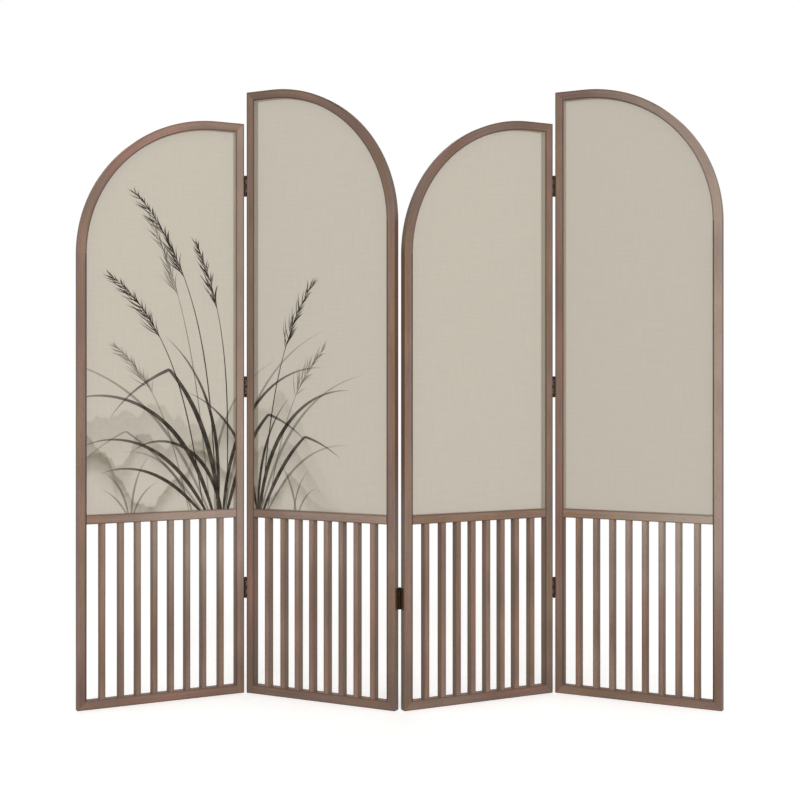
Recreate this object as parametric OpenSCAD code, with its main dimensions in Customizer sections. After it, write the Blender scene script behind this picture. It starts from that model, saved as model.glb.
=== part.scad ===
// Folding screen of four arched panels, walnut frames with stretched gauze over upright slats.
// Each panel is made in its own frame: x from the hinge stile's outer edge to the free stile's,
// y from the front face to the back face, z up from the floor. The panels are then set out in
// a zigzag whose middle fold is nearest to the viewer, who looks along +Y.

/* [Panels] */
// Width of one panel over both stiles
panel_w = 496; // [470:1:560]
// Height of the second and fourth panels
tall_h = 1800; // [1600:1:2000]
// How much lower the first and third panels stand
step_down = 94; // [0:1:160]
// Radius of the arch on its outer edge
arch_r = 410; // [340:1:420]
// Turn of each panel from the line of the row
fold_deg = 26.2; // [10:0.1:60]

/* [Frame stock] */
// Face width of stiles, rails and arch
stock_w = 26; // [24:0.5:32]
// Thickness of the frame, front to back
panel_t = 26; // [24:0.5:32]
// Radius of the frame's long edges
edge_r = 2; // [0.5:0.25:2]

/* [Slats] */
// Underside of the mid rail above the floor
mid_rail_z = 527; // [420:1:640]
// Number of slats in a panel
slat_count = 8; // [5:1:9]
// Face width of a slat
slat_w = 16.5; // [12:0.5:20]
// Thickness of a slat, front to back
slat_t = 22; // [14:0.5:23]
// Radius of the slat's long edges
slat_r = 1; // [0.5:0.25:2]
// Gap beside each outermost slat, on both of its sides
outer_gap = 37.25; // [30:0.25:42]

/* [Joinery] */
// Thickness of the slat and rail tenons
tenon_t = 9; // [6:0.5:10]
// Length of a slat's tenon
slat_tenon_l = 10; // [6:0.5:14]
// Width of a slat's tenon
slat_tenon_w = 12; // [8:0.5:12]
// Length of a mid rail tenon
rail_tenon_l = 12; // [8:0.5:14]
// Height of a mid rail tenon
rail_tenon_h = 14; // [10:0.5:15]
// Length of a loose tenon
key_l = 24; // [16:1:25]
// Width of a loose tenon
key_w = 14; // [8:0.5:15]
// Thickness of a loose tenon
key_t = 6; // [4:0.5:10]
// Wood left between a mitre's loose tenon and the frame's outer edges
key_cover = 4; // [3:0.25:4.25]

/* [Gauze] */
// Thickness of a gauze sheet
gauze_t = 0.5; // [0.3:0.1:0.8]
// Depth of the gauze behind the frame's face
gauze_in = 2.4; // [2:0.1:3.5]
// Width of the groove that holds the gauze
groove_w = 3; // [2.5:0.1:4]
// Depth of the groove in the frame's inner wall
groove_d = 5; // [4:0.25:6]
// Depth at which the spline starts inside its groove
spline_in = 0.6; // [0.3:0.1:1.5]

/* [Hinges] */
// Gap between the edges of neighbouring panels when opened flat
fold_gap = 6; // [5.5:0.1:8]
// Distance of a hinge's axis outside the panel's face
axis_out = 1; // [0.5:0.1:3]
// Length of a hinge
hinge_l = 62; // [56:1:76]
// Middle of the lowest hinge above the floor
hinge_low_z = 316; // [200:1:420]
// Middle of the highest hinge below the top of the lower panels
hinge_drop = 187; // [100:1:300]
// Depth of a leaf from the hinge's axis across the panel's edge
leaf_d = 22; // [18:0.5:22]
// Thickness of a leaf
leaf_t = 1.5; // [1:0.1:1.7]
// Radius of a leaf's outer corners
leaf_corner_r = 3; // [1:0.5:5]
// Number of knuckles in a hinge
knuckle_count = 5; // [3:2:7]
// Gap between a knuckle and the line of the panel's edge
knuckle_side = 0.1; // [0.05:0.05:0.5]
// Radius of a hinge pin
pin_r = 1.5; // [1:0.1:1.6]
// Radius of a pin's head
pin_head_r = 2.4; // [2:0.1:2.8]
// Height of a pin's head
pin_head_h = 0.9; // [0.5:0.1:1.5]
// Length of a screw
screw_l = 16; // [12:0.5:16]
// Radius of a screw's shank
shank_r = 1.6; // [1.2:0.1:1.8]
// Radius of a screw's point
tip_r = 0.3; // [0.2:0.1:0.6]
// Radius of a screw's head
head_r = 3.1; // [2.6:0.1:3.4]
// Distance between neighbouring screws
screw_pitch = 20; // [14:1:23]
// Number of screws in a leaf
screw_count = 3; // [1:1:3]

/* [Clearances] */
// Gap round a tenon in its mortise
joint_clear = 0.1; // [0.05:0.05:0.3]
// Radial gap between a pin and its knuckles
pin_clear = 0.05; // [0.02:0.01:0.1]
// Gap between neighbouring knuckles
knuckle_clear = 0.3; // [0.2:0.1:0.5]
// Gap between a knuckle and the other leaf's plate
plate_clear = 0.5; // [0.3:0.1:1]
// Radial gap round a screw
screw_clear = 0.05; // [0.02:0.01:0.1]

/* [Hidden] */
PANELS = [1, 2, 3, 4];
PANEL_PIECES = [
    "hinge_stile", "free_stile", "bottom_rail", "mid_rail", "arch_rail",
    "slats", "loose_tenons", "front_gauze", "back_gauze", "gauze_splines"
];
// Each fold's name, the panel that carries the pins, the panel that swings, and whether the
// two panels meet at their hinge stiles, where the fronts fold together
FOLDS = [
    ["left_fold", 2, 1, true],
    ["centre_fold", 2, 3, false],
    ["right_fold", 3, 4, true]
];
FOLD_PIECES = ["fixed_leaves", "swing_leaves", "pins", "fixed_screws", "swing_screws"];

wood = "#8a6f5f";
slat_wood = "#83695a";
gauze_colour = "#c5bfae";
spline_colour = "#8f8a7c";
tenon_colour = "#c9a87a";
bronze = "#2f2822";
screw_colour = "#4a4038";

arc_facets = 180;
small_facets = 40;
over = 1;

// Places that follow from the sizes above
short_h = tall_h - step_down;
hinge_high_z = short_h - hinge_drop;
mid_rail_top = mid_rail_z + stock_w;
arch_x = panel_w - arch_r;
inner_r = arch_r - stock_w;
bay_w = panel_w - 2 * stock_w;
inner_gap = (bay_w - slat_count * slat_w - 4 * outer_gap) / (slat_count - 3);
hinge_mid_z = (hinge_low_z + hinge_high_z) / 2;
knuckle_pitch = (hinge_l + knuckle_clear) / knuckle_count;
knuckle_l = knuckle_pitch - knuckle_clear;
knuckle_r = fold_gap / 2 - knuckle_side;
plate_in = knuckle_r + plate_clear;
leaf_x = fold_gap / 2 - leaf_t;
screw_y = (plate_in + leaf_d) / 2;
fold_run = (panel_w + fold_gap) * cos(fold_deg) + (panel_t + 2 * axis_out) * sin(fold_deg);
fold_reach = (panel_w + fold_gap) * sin(fold_deg) - (panel_t + 2 * axis_out) * cos(fold_deg);

function panel_h(n) = n % 2 == 1 ? short_h : tall_h;
function slat_left(i) =
    stock_w + i * slat_w + (i < 2 ? (i + 1) * outer_gap
        : 2 * outer_gap + min(i - 1, slat_count - 3) * inner_gap
            + max(0, i - slat_count + 2) * outer_gap);
function knuckle_z(k) = k * knuckle_pitch - hinge_l / 2;
function hinge_heights(at_hinge_stile) =
    at_hinge_stile ? [hinge_low_z, hinge_mid_z, hinge_high_z] : [hinge_low_z];
function fixed_knuckles() = [0 : 2 : knuckle_count - 1];
function swing_knuckles() = [1 : 2 : knuckle_count - 1];

// Outline of a bar: a rectangle with rounded corners, its own corner at the origin
module bar_section(w, t, r) {
    translate([r, 0]) square([w - 2 * r, t]);
    translate([0, r]) square([w, t - 2 * r]);
    for (x = [r, w - r], y = [r, t - r]) translate([x, y]) circle(r, $fn = small_facets);
}

// A sheet of thickness t whose front is at y0, from an outline drawn in x and z
module slab(y0, t) {
    translate([0, y0 + t, 0]) rotate([90, 0, 0]) linear_extrude(t) children();
}

// The part of the children that lies inside an outline drawn in x and z
module within(points) {
    intersection() {
        children();
        slab(-over, panel_t + 2 * over) polygon(points);
    }
}

// An upright bar and a level bar of the frame's stock
module upright(x, z0, z1) {
    translate([x, 0, z0]) linear_extrude(z1 - z0) bar_section(stock_w, panel_t, edge_r);
}

module level(x0, x1, z) {
    translate([x0, 0, z]) rotate([90, 0, 90])
        linear_extrude(x1 - x0) bar_section(panel_t, stock_w, edge_r);
}

// Outline of the gauze bay, grown by a margin: square at the hinge stile, arched beyond it
module bay_outline(h, margin) {
    spring_z = h - arch_r;
    r = inner_r + margin;
    x0 = stock_w - margin;
    z0 = mid_rail_top - margin;
    translate([x0, z0]) square([arch_x - x0, spring_z + r - z0]);
    translate([arch_x - over, z0]) square([r + over, spring_z - z0]);
    translate([arch_x, spring_z]) intersection() {
        circle(r, $fn = arc_facets);
        translate([-over, -over]) square(r + 2 * over);
    }
}

module gauze_grooves(h) {
    slab(gauze_in, groove_w) bay_outline(h, groove_d);
    slab(panel_t - gauze_in - groove_w, groove_w) bay_outline(h, groove_d);
}

// A loose tenon, or its mortise when grown, square to a mitre that starts at an outer corner
// and runs inward along the diagonal given by dx and dz
module mitre_tenon(x, z, dx, dz, grow) {
    from_corner = key_cover * sqrt(2) + (key_l + key_w) / 2;
    size = [key_w, key_t, key_l] + grow * [2, 2, 2];
    translate([x, panel_t / 2, z]) rotate([0, -atan2(dz, dx), 0])
        translate([from_corner, 0, 0]) cube(size, center = true);
}

// The three mitres and the upright joint where the arch springs from the free stile
module all_loose_tenons(h, grow) {
    mitre_tenon(0, 0, 1, 1, grow);
    mitre_tenon(panel_w, 0, -1, 1, grow);
    mitre_tenon(0, h, 1, -1, grow);
    translate([panel_w - stock_w / 2, panel_t / 2, h - arch_r])
        cube([key_w, key_t, key_l] + grow * [2, 2, 2], center = true);
}

module rail_tenons(grow) {
    for (side = [0, 1]) {
        x = side == 0 ? stock_w - rail_tenon_l - grow : panel_w - stock_w - over;
        translate([x, (panel_t - tenon_t) / 2 - grow, mid_rail_z + (stock_w - rail_tenon_h) / 2 - grow])
            cube([rail_tenon_l + over + grow, tenon_t + 2 * grow, rail_tenon_h + 2 * grow]);
    }
}

module slat_tenons(grow) {
    for (i = [0 : slat_count - 1], z = [stock_w - slat_tenon_l - grow, mid_rail_z - over])
        translate([slat_left(i) + (slat_w - slat_tenon_w) / 2 - grow, (panel_t - tenon_t) / 2 - grow, z])
            cube([slat_tenon_w + 2 * grow, tenon_t + 2 * grow, slat_tenon_l + over + grow]);
}

// Places the children once for each hinge on a panel's hinge stile or free stile, with the
// hinge's axis upright at the origin, the panel's edge at +x and its thickness along +y
module at_hinges(at_hinge_stile) {
    for (z = hinge_heights(at_hinge_stile))
        if (at_hinge_stile) translate([-fold_gap / 2, -axis_out, z]) children();
        else translate([panel_w + fold_gap / 2, panel_t + axis_out, z]) rotate(180) children();
}

module at_screws() {
    for (i = [0 : screw_count - 1])
        translate([leaf_x, screw_y, (i - (screw_count - 1) / 2) * screw_pitch])
            rotate([0, 90, 0]) children();
}

// A countersunk screw along +z from its head, or the hole that it needs when grown
module screw(grow) {
    tip_l = 2 * shank_r;
    cylinder(h = leaf_t, r1 = head_r + grow, r2 = shank_r + grow, $fn = small_facets);
    cylinder(h = screw_l - tip_l + grow, r = shank_r + grow, $fn = small_facets);
    translate([0, 0, screw_l - tip_l + grow])
        cylinder(h = tip_l, r1 = shank_r + grow, r2 = tip_r + grow, $fn = small_facets);
}

module hinge_stile(n) {
    h = panel_h(n);
    color(wood) difference() {
        within([[0, 0], [stock_w, stock_w], [stock_w, h - stock_w], [0, h]]) upright(0, 0, h);
        gauze_grooves(h);
        rail_tenons(joint_clear);
        all_loose_tenons(h, joint_clear);
        at_hinges(true) at_screws() screw(screw_clear);
    }
}

module free_stile(n) {
    h = panel_h(n);
    color(wood) difference() {
        within([[panel_w, 0], [panel_w, h - arch_r], [panel_w - stock_w, h - arch_r],
            [panel_w - stock_w, stock_w]])
            upright(panel_w - stock_w, 0, h);
        gauze_grooves(h);
        rail_tenons(joint_clear);
        all_loose_tenons(h, joint_clear);
        if (n == 2 || n == 3) at_hinges(false) at_screws() screw(screw_clear);
    }
}

module bottom_rail(n) {
    color(wood) difference() {
        within([[0, 0], [panel_w, 0], [panel_w - stock_w, stock_w], [stock_w, stock_w]])
            level(0, panel_w, 0);
        all_loose_tenons(panel_h(n), joint_clear);
        slat_tenons(joint_clear);
    }
}

module mid_rail(n) {
    color(wood) difference() {
        union() {
            level(stock_w, panel_w - stock_w, mid_rail_z);
            rail_tenons(0);
        }
        gauze_grooves(panel_h(n));
        slat_tenons(joint_clear);
    }
}

// The level stretch beside the hinge stile and the quarter circle, bent in one piece
module arch_rail(n) {
    h = panel_h(n);
    color(wood) difference() {
        union() {
            within([[0, h], [stock_w, h - stock_w], [arch_x, h - stock_w], [arch_x, h]])
                level(0, arch_x, h - stock_w);
            translate([arch_x, panel_t, h - arch_r]) rotate([90, 0, 0])
                rotate_extrude(angle = 90, $fn = arc_facets)
                    translate([inner_r, 0]) bar_section(stock_w, panel_t, edge_r);
        }
        gauze_grooves(h);
        all_loose_tenons(h, joint_clear);
    }
}

module slats() {
    color(slat_wood) {
        for (i = [0 : slat_count - 1])
            translate([slat_left(i), (panel_t - slat_t) / 2, stock_w])
                linear_extrude(mid_rail_z - stock_w) bar_section(slat_w, slat_t, slat_r);
        slat_tenons(0);
    }
}

module loose_tenons(n) {
    color(tenon_colour) all_loose_tenons(panel_h(n), 0);
}

module gauze(n, y0) {
    color(gauze_colour) slab(y0, gauze_t) bay_outline(panel_h(n), groove_d - joint_clear);
}

// Two flat splines, each pressed into its groove behind a sheet's edge
module gauze_splines(n) {
    t = groove_w - gauze_t - joint_clear;
    for (y0 = [gauze_in + gauze_t, panel_t - gauze_in - gauze_t - t])
        color(spline_colour) slab(y0, t) difference() {
            bay_outline(panel_h(n), groove_d - joint_clear);
            bay_outline(panel_h(n), spline_in);
        }
}

// One leaf with the knuckles listed in own, and a plate that stands clear of the others
module leaf(own) {
    color(bronze) difference() {
        union() {
            translate([leaf_x, plate_in, -hinge_l / 2]) cube([leaf_t, leaf_corner_r, hinge_l]);
            translate([leaf_x, plate_in, -hinge_l / 2]) rotate([90, 0, 90])
                linear_extrude(leaf_t) bar_section(leaf_d - plate_in, hinge_l, leaf_corner_r);
            for (k = own) translate([0, 0, knuckle_z(k)]) {
                cylinder(h = knuckle_l, r = knuckle_r, $fn = small_facets);
                translate([leaf_x, 0, 0]) cube([leaf_t, plate_in + over, knuckle_l]);
            }
        }
        translate([0, 0, -hinge_l / 2 - over])
            cylinder(h = hinge_l + 2 * over, r = pin_r + pin_clear, $fn = small_facets);
        at_screws() screw(screw_clear);
    }
}

module pin() {
    color(bronze) {
        translate([0, 0, -hinge_l / 2 - joint_clear])
            cylinder(h = hinge_l + 2 * joint_clear, r = pin_r, $fn = small_facets);
        for (side = [0, 1]) mirror([0, 0, side]) translate([0, 0, hinge_l / 2 + joint_clear])
            cylinder(h = pin_head_h, r1 = pin_head_r, r2 = pin_r, $fn = small_facets);
    }
}

// Stands a panel in the row: 1 and 3 are mirrored, and each turns about its hinge stile's axis
module on_panel(n) {
    fold_x = n <= 2 ? -fold_run : fold_run;
    translate([fold_x, fold_reach / 2, 0]) mirror([n % 2 == 1 ? 1 : 0, 0, 0]) rotate(-fold_deg)
        translate([fold_gap / 2, axis_out, 0]) children();
}

for (n = PANELS) {
    on_panel(n) hinge_stile(n);
    on_panel(n) free_stile(n);
    on_panel(n) bottom_rail(n);
    on_panel(n) mid_rail(n);
    on_panel(n) arch_rail(n);
    on_panel(n) slats();
    on_panel(n) loose_tenons(n);
    on_panel(n) gauze(n, gauze_in);
    on_panel(n) gauze(n, panel_t - gauze_in - gauze_t);
    on_panel(n) gauze_splines(n);
}

for (fold = FOLDS) {
    on_panel(fold[1]) at_hinges(fold[3]) leaf(fixed_knuckles());
    on_panel(fold[2]) at_hinges(fold[3]) leaf(swing_knuckles());
    on_panel(fold[1]) at_hinges(fold[3]) pin();
    on_panel(fold[1]) at_hinges(fold[3]) color(screw_colour) at_screws() screw(0);
    on_panel(fold[2]) at_hinges(fold[3]) color(screw_colour) at_screws() screw(0);
}
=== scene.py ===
import math
from functools import partial

import bmesh
import bpy
from mathutils import Matrix, Vector


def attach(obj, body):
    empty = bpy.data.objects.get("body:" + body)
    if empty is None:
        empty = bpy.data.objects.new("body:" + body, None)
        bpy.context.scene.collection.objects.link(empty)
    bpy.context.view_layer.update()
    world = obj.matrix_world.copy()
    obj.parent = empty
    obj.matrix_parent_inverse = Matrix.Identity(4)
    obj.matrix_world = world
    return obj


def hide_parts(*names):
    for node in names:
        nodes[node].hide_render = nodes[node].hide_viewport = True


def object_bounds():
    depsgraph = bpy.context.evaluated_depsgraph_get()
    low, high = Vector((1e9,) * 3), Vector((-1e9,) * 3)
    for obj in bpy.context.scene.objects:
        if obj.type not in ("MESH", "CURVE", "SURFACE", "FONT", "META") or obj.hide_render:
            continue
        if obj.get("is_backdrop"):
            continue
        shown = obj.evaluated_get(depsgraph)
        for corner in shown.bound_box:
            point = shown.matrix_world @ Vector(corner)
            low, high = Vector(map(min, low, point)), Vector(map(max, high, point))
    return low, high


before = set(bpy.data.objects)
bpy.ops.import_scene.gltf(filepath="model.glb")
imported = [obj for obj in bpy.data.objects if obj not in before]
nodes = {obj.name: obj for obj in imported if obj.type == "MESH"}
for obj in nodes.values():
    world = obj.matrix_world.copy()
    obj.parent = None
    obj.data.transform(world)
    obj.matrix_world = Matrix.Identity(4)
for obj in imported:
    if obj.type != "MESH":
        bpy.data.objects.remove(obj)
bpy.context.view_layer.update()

# A folding screen of four arched walnut panels with stretched gauze over upright slats.
# Metres, Z up, the floor at 0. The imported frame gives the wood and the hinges; the gauze,
# the drawing on it and the screws are made here.
print("frame loaded:", len(nodes), "nodes")

# How the panels stand. A panel's own frame has x from its hinge stile's outer edge, y back, z up.
layout = {
    "width": 0.496,
    "heights": {1: 1.706, 2: 1.800, 3: 1.706, 4: 1.800},
    "side": {1: -1, 2: 1, 3: -1, 4: 1},   # the odd panels are mirrored
    "stock": 0.026,
    "thickness": 0.026,
    "archRadius": 0.410,
    "midRailTop": 0.553,
    "turn": math.radians(26.2),
    "axisSide": 0.003,    # the hinge's axis off the panel's edge
    "axisFront": 0.001,   # and in front of its face
    # the outer folds' axes: beside the middle of the row and behind its middle line
    "foldRun": {1: -0.462785865, 2: -0.462785865, 3: 0.462785865, 4: 0.462785865},
    "foldReach": 0.098256352,
}
archCentre = layout["width"] - layout["archRadius"]
springs = {panel: top - layout["archRadius"] for panel, top in layout["heights"].items()}
# The folds' axes in a panel's frame, beside either stile, and which way the leaves are turned
axes = {
    "hinge_stile": ((-layout["axisSide"], -layout["axisFront"], 0), 0.0),
    "free_stile": ((layout["width"] + layout["axisSide"],
                    layout["thickness"] + layout["axisFront"], 0), math.pi),
}
# The panels and the stile that carry a fold's leaves, its hinges, and how much painted shade
# darkens its knuckles
folds = {
    "left_fold": {"fixed": 2, "swing": 1, "stile": "hinge_stile", "hinges": 3, "shadeLevel": 1.0},
    "centre_fold": {"fixed": 2, "swing": 3, "stile": "free_stile", "hinges": 1, "shadeLevel": 0.6},
    "right_fold": {"fixed": 3, "swing": 4, "stile": "hinge_stile", "hinges": 3, "shadeLevel": 1.0},
}
noiseSpan = (0.3, 0.7)   # most of a noise's values lie in it
smooth = {"interpolation_type": "SMOOTHSTEP"}   # for ranges with soft ends


def standPanel(panel):
    # from the panel's own frame to its place in the row
    return (Matrix.Translation((layout["foldRun"][panel], layout["foldReach"], 0))
            @ Matrix.Diagonal((layout["side"][panel], 1, 1, 1))
            @ Matrix.Rotation(-layout["turn"], 4, "Z")
            @ Matrix.Translation((layout["axisSide"], layout["axisFront"], 0)))


def addObject(name, data):
    made = bpy.data.objects.new(name, data)
    bpy.context.scene.collection.objects.link(made)
    return made


def keepForm(form, name):
    # turns a bmesh into a mesh
    mesh = bpy.data.meshes.new(name)
    form.to_mesh(mesh)
    form.free()
    return mesh


def moveMesh(mesh, place):
    # a mesh that is mirrored on its way has its faces turned outward again
    mesh.transform(place)
    if place.determinant() < 0:
        mesh.flip_normals()


def tone(hexText, gain=1.0):
    # sRGB hex to the linear numbers that a shader takes, times a gain
    parts = [int(hexText[k:k + 2], 16) / 255 for k in (1, 3, 5)]
    return (*[gain * (c / 12.92 if c <= 0.04045 else ((c + 0.055) / 1.055) ** 2.4)
              for c in parts], 1.0)


def tones(rows, gain=1.0):
    # a ramp's stops from places and sRGB hex
    return [(place, tone(colour, gain)) for place, colour in rows]


def addNode(tree, kind, feeds=(), stops=(), **settings):
    # adds a node; bound to a tree it is called put. Feeds go to inputs by key, or as a list to
    # the live inputs in order: values, sockets, or nodes for their first live output. Stops are
    # a ramp's places and colours.
    node = tree.nodes.new(kind)
    for name, value in settings.items():
        setattr(node, name, value)
    inputs = node.inputs
    if not isinstance(feeds, dict):
        inputs, feeds = [socket for socket in inputs if socket.enabled], dict(enumerate(feeds))
    for key, value in feeds.items():
        if isinstance(value, bpy.types.Node):
            value = next(output for output in value.outputs if output.enabled)
        if isinstance(value, bpy.types.NodeSocket):
            tree.links.new(value, inputs[key])
        else:
            inputs[key].default_value = value
    if stops:
        ramp = node.color_ramp
        while len(ramp.elements) < len(stops):
            ramp.elements.new(0.5)
        for element, (place, colour) in zip(ramp.elements, stops):
            element.position = place
            element.color = colour
    return node


def startMaterial(name):
    material = bpy.data.materials.new(name)
    material.use_nodes = True
    material.node_tree.nodes.clear()
    return material, partial(addNode, material.node_tree)


def panelCoordinates(put, panel):
    # Object coordinates brought into the panel's own frame, in metres
    return put("ShaderNodeMapping", {
        "Vector": put("ShaderNodeTexCoord").outputs["Object"],
        "Location": standPanel(panel).inverted().translation,
        "Rotation": (0, 0, layout["turn"]), "Scale": (layout["side"][panel], 1, 1)})


def wear(node, material):
    # gives a CAD node its finish
    shown = nodes[node]
    shown.data.materials.clear()
    shown.data.materials.append(material)


# American black walnut, planed, sanded and rubbed with hard oil: a matt greyed brown, straight
# grain with rosy, ashen and tawny streaks along each board
walnut = {
    # colours at their place in the noise: growth rings, and the rosy, ashen and tawny bands
    "rings": ((0.34, "#5c4b42"), (0.50, "#765f52"), (0.66, "#866f61")),
    "bands": ((0.39, "#87635a"), (0.50, "#776763"), (0.62, "#806954")),
    "bandShare": {"slat": 0.34},
    "bandUsual": 0.50,
    # a painted pool of light: the paler tone laid over parts of panels 1, 2 and 4
    "paintedGlow": "#97887d",
    "pore": "#463830",
    "poreSpan": (0.56, 0.68),
    "poreShare": 0.3,
    "edgeShade": "#3a2d25",       # painted shade, with some oil and dust, darkens the eased edges
    # each layer of noise: how wide its marks are, how long along the grain, and their detail
    "layers": {
        "ring": (0.0065, 0.42, 3.0),      # a growth ring is 2 to 7 mm wide
        "streak": (0.0026, 0.12, 3.0),
        "pore": (0.0014, 0.018, 2.0),     # real pores are 0.2 mm wide, too fine to show
        "band": (0.017, 0.40, 1.0),
        "wander": (0.2, 0.16, 1.0),       # the tone of the whole board
    },
    "layerGrit": 0.55,
    "ringBend": 0.3,
    "ringShare": 0.55,
    "streakShare": 0.45,
    "wander": (0.88, 1.12),
    "boardStep": (3.7, 1.3, 2.1),         # from one board's place in the noise to the next
    "boardsPerPanel": 7,
    "roughness": (0.59, 0.75),
    "ior": 1.5,
    "gloss": 0.10,            # the oil has sunk in, so hardly any sheen is left at a low angle
    "relief": {"Strength": 0.25, "Distance": 0.0003},
}

# Each piece's board: how its grain runs, its number in the panel (the arch is sawn from the free
# stile's), where it starts across the grain, how dark the painted shade on its eased edges is, how
# far in it is full and where that ends, by how much single boards are paler or deeper, and where
# the stiles begin to darken towards the floor, do so in full, and the level they reach
timber = {
    "hinge_stile": {
        "cut": "upright", "board": 0, "start": 0.0, "edgeShade": (0.66, 0.0012, 0.0052),
        "lift": {2: -0.12, 3: -0.06, 4: -0.06}, "feet": (0.15, 0.05, 0.86)},
    "free_stile": {
        "cut": "upright", "board": 1, "start": layout["width"] - layout["stock"],
        "edgeShade": (0.80, 0.0028, 0.0056), "lift": {2: -0.04, 3: 0.02},
        "feet": (0.28, 0.08, 0.77)},
    "slats": {
        "cut": "slat", "board": 2, "edgeShade": (0.28, 0.0008, 0.0048),
        "lift": {2: 0.06, 3: 0.06, 4: 0.03}},
    "bottom_rail": {
        "cut": "level", "board": 3, "start": 0.0, "edgeShade": (0.40, 0.0008, 0.0048),
        "lift": {1: -0.05, 2: -0.20, 3: -0.13, 4: -0.10}},
    "mid_rail": {
        "cut": "level", "board": 4, "start": layout["midRailTop"] - layout["stock"],
        "edgeShade": (0.50, 0.0008, 0.0048), "lift": {1: 0.02, 2: 0.04, 3: 0.04, 4: 0.04}},
    "arch_rail": {
        "cut": "arch", "board": 1, "start": layout["width"] - layout["stock"],
        "edgeShade": (0.52, 0.0012, 0.0052), "lift": {}},
}
# How an arch's tone drifts along its bent board, from its level end (0) to its springing (1)
archDrift = {
    1: ((0.0, 0.98), (0.12, 0.90), (0.35, 1.14), (0.60, 0.92), (1.0, 1.02)),
    2: ((0.0, 0.70), (0.22, 0.90), (0.56, 0.78), (1.0, 0.96)),
    3: ((0.0, 0.84), (0.29, 0.96), (0.54, 0.78), (0.80, 0.80), (1.0, 0.98)),
    4: ((0.0, 0.74), (0.08, 0.84), (0.24, 0.71), (0.48, 0.86), (0.74, 0.84), (1.0, 1.0)),
}
# Where a pool of light is painted on as a paler tone: from where to where it grows, across the
# panel from its hinge stile and up from the floor, and each piece's share of it
paintedGlowReach = {
    1: {"across": (0.47, 0.19), "up": (0.19, 0.46),
        "hinge_stile": 0.52, "slats": 0.66, "mid_rail": 0.68, "arch_rail": 0.16},
    2: {"across": (0.02, 0.24), "up": (0.19, 0.50), "slats": 0.18, "mid_rail": 0.48},
    4: {"across": (0.05, 0.40), "up": (0.19, 0.46),
        "free_stile": 0.70, "slats": 0.84, "mid_rail": 0.94, "arch_rail": 0.76},
}
# The side faces get a greyer tone. The free stiles' outer faces are brown high up in panels 2 and
# 3, and grey lower down and at the ends of the row. This fades out where the arch springs.
# Behind the gauze the hinge stiles' inner faces are painted a different grey in each panel.
edges = {
    "sawn": "#827c71", "sawnShare": 0.30,
    "facing": (0.75, 0.98),      # cosines: how squarely a face is turned to the panel's side
    "oiled": "#684734", "greyed": "#7b7168", "outerShare": 0.70,
    "greyUp": (0.74, 0.50), "outerUp": (0.045, -0.010),
    "bayGrey": {1: "#9e9186", 2: "#757878", 3: "#959894", 4: "#a79a96"},
    "bayGreyUp": (0.545, 0.560), "bayGreyShare": 0.85,
    "paleArc": (0.6, 1.5),       # radians round the arch where its outer edge loses the painted edge shade
}
# The slats stand at one pitch but for the two outermost, which are set 4.65 mm further out.
# Each is cut from another board, paler or deeper than the next.
slatRow = {"first": 0.117, "pitch": 0.0491, "width": 0.0165, "thickness": 0.022,
           "shift": 0.00465, "left": 0.098, "right": 0.398, "levels": (0.94, 1.08)}


def grainAxes(put, panel, cut, x, z):
    # where a point lies across and along the grain, and its angle round the arch
    if cut == "upright":
        return x, z, None
    if cut == "level":
        return z, x, None
    if cut == "slat":
        outer = put("ShaderNodeMath", [x, slatRow["left"]], operation="LESS_THAN")
        far = put("ShaderNodeMath", [x, slatRow["right"]], operation="GREATER_THAN")
        side = put("ShaderNodeMath", [outer, far], operation="SUBTRACT")
        even = put("ShaderNodeMath", [side, slatRow["shift"], x], operation="MULTIPLY_ADD")
        across = put("ShaderNodeMath", [even, slatRow["first"]], operation="SUBTRACT")
        return across, z, None
    # level beside the fold, then round the quarter circle and on into the free stile
    mean = layout["archRadius"] - layout["stock"] / 2
    aside = put("ShaderNodeMath", [x, archCentre], operation="SUBTRACT")
    above = put("ShaderNodeMath", [z, springs[panel]], operation="SUBTRACT")
    out = put("ShaderNodeMath", [aside, 0.0], operation="MAXIMUM")
    back = put("ShaderNodeMath", [aside, 0.0], operation="MINIMUM")
    pair = put("ShaderNodeCombineXYZ", [out, above])
    radius = put("ShaderNodeVectorMath", [pair], operation="LENGTH")
    across = put("ShaderNodeMath", [radius, archCentre], operation="ADD")
    angle = put("ShaderNodeMath", [out, above], operation="ARCTAN2")
    down = put("ShaderNodeMath", [angle, mean, back], operation="MULTIPLY_ADD")
    along = put("ShaderNodeMath", [springs[panel] + mean * math.pi / 2, down], operation="SUBTRACT")
    return across, along, angle


def sawnEdge(put, panel, piece, z):
    # how much of their own tone the side faces show, and that tone
    facing = put("ShaderNodeVectorMath", [
        put("ShaderNodeTexCoord").outputs["Normal"],
        standPanel(panel).to_3x3() @ Vector((1, 0, 0))], operation="DOT_PRODUCT")
    shade, share, other = tone(edges["sawn"]), edges["sawnShare"], None
    if piece in ("free_stile", "arch_rail"):
        outer = tone(edges["greyed"])
        if panel in (2, 3):
            lowDown = put("ShaderNodeMapRange", [z, *edges["greyUp"]], **smooth)
            outer = put("ShaderNodeMix", [lowDown, tone(edges["oiled"]), outer], data_type="RGBA")
        belowSpring = put("ShaderNodeMapRange",
                   [z, *[springs[panel] + rise for rise in edges["outerUp"]]], **smooth)
        other = belowSpring, outer, edges["outerShare"]
    else:
        facing = put("ShaderNodeMath", [facing], operation="ABSOLUTE")
    if piece == "hinge_stile":
        inBay = put("ShaderNodeMapRange", [z, *edges["bayGreyUp"]])
        other = inBay, tone(edges["bayGrey"][panel]), edges["bayGreyShare"]
    if other:
        shade = put("ShaderNodeMix", [other[0], shade, other[1]], data_type="RGBA")
        share = put("ShaderNodeMapRange", [other[0], 0.0, 1.0, share, other[2]])
    return put("ShaderNodeMapRange", [facing, *edges["facing"], 0.0, share], **smooth), shade


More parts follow.
